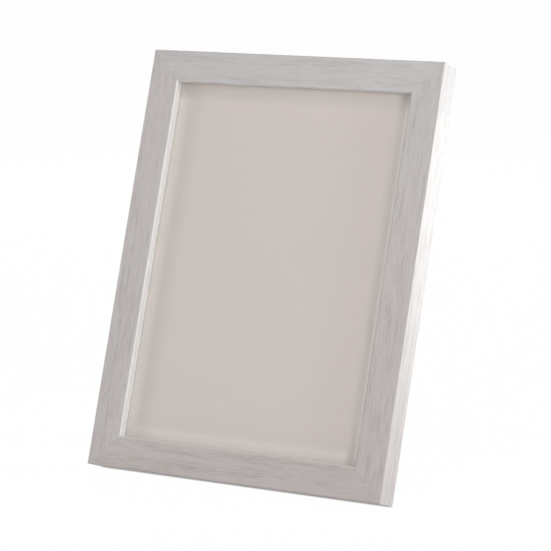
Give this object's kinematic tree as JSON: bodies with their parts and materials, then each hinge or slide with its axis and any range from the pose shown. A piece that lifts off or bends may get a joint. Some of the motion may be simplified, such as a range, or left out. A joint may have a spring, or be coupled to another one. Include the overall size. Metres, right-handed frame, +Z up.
{
  "type": "tabletop picture frame",
  "caption": "Mitred wooden picture frame with glass and a blank insert, standing on a hinged easel leg, with turn buttons and ring hangers on its back.",
  "frame": {"origin": "middle of the footprint, on the surface that the frame stands on", "axes": "+Z up, the front faces -Y and leans back towards +Y, +X to the right seen from the front"},
  "size_m": [0.152, 0.0974, 0.195],
  "materials": {
    "moulding": "foil-wrapped moulding with a whitewashed, finely streaked wood grain along each member, satin",
    "wedge_steel": "bare steel strip",
    "glass": "clear, polished",
    "insert_paper": "blank warm grey-beige insert, matte",
    "filler_card": "grey card, matte",
    "hardboard": "brown hardboard, smooth side out",
    "plated_steel": "nickel-plated pressed steel and wire"
  },
  "bodies": {
    "frame": {"bottom_rail": "moulding", "top_rail": "moulding", "left_stile": "moulding", "right_stile": "moulding", "corner_wedge_bottom_left": "wedge_steel", "corner_wedge_bottom_right": "wedge_steel", "corner_wedge_top_right": "wedge_steel", "corner_wedge_top_left": "wedge_steel", "glass_pane": "glass", "print_sheet": "insert_paper", "filler_card": "filler_card", "back_board": "hardboard", "hinge_board_leaf": "plated_steel", "hinge_pin": "plated_steel", "hinge_board_rivet_1": "plated_steel", "hinge_board_rivet_2": "plated_steel", "button_screw_left_low": "plated_steel", "button_screw_left_high": "plated_steel", "button_screw_right_low": "plated_steel", "button_screw_right_high": "plated_steel", "top_hanger_strap": "plated_steel", "top_hanger_rivet": "plated_steel", "side_hanger_strap": "plated_steel", "side_hanger_rivet": "plated_steel"},
    "leg": {"easel_leg": "hardboard", "hinge_leg_leaf": "plated_steel", "leg_rivet_1": "plated_steel", "leg_rivet_2": "plated_steel"},
    "button_left_low": {"turn_button_left_low": "plated_steel"},
    "button_left_high": {"turn_button_left_high": "plated_steel"},
    "button_right_low": {"turn_button_right_low": "plated_steel"},
    "button_right_high": {"turn_button_right_high": "plated_steel"},
    "top_ring": {"top_hanger_ring": "plated_steel"},
    "side_ring": {"side_hanger_ring": "plated_steel"}
  },
  "joints": [
    {"name": "leg_hinge", "type": "hinge", "parent": "frame", "child": "leg", "pos_m": [0, 0.00982, 0.12191], "axis": [1, 0, 0], "range_deg": [-36.5, 0]},
    {"name": "button_left_low_turn", "type": "hinge", "parent": "frame", "child": "button_left_low", "pos_m": [-0.07075, -0.02035, 0.04242], "axis": [0, 0.9426, -0.3338], "continuous": true},
    {"name": "button_left_high_turn", "type": "hinge", "parent": "frame", "child": "button_left_high", "pos_m": [-0.07075, 0.01704, 0.14799], "axis": [0, 0.9426, -0.3338], "continuous": true},
    {"name": "button_right_low_turn", "type": "hinge", "parent": "frame", "child": "button_right_low", "pos_m": [0.07075, -0.02035, 0.04242], "axis": [0, 0.9426, -0.3338], "continuous": true},
    {"name": "button_right_high_turn", "type": "hinge", "parent": "frame", "child": "button_right_high", "pos_m": [0.07075, 0.01704, 0.14799], "axis": [0, 0.9426, -0.3338], "continuous": true},
    {"name": "top_ring_swing", "type": "hinge", "parent": "frame", "child": "top_ring", "pos_m": [0, 0.02622, 0.16702], "axis": [1, 0, 0], "range_deg": [-23.5, 164.5]},
    {"name": "side_ring_swing", "type": "hinge", "parent": "frame", "child": "side_ring", "pos_m": [0.052, 0.00051, 0.09444], "axis": [0, -0.3338, -0.9426], "range_deg": [-94, 94]}
  ]
}
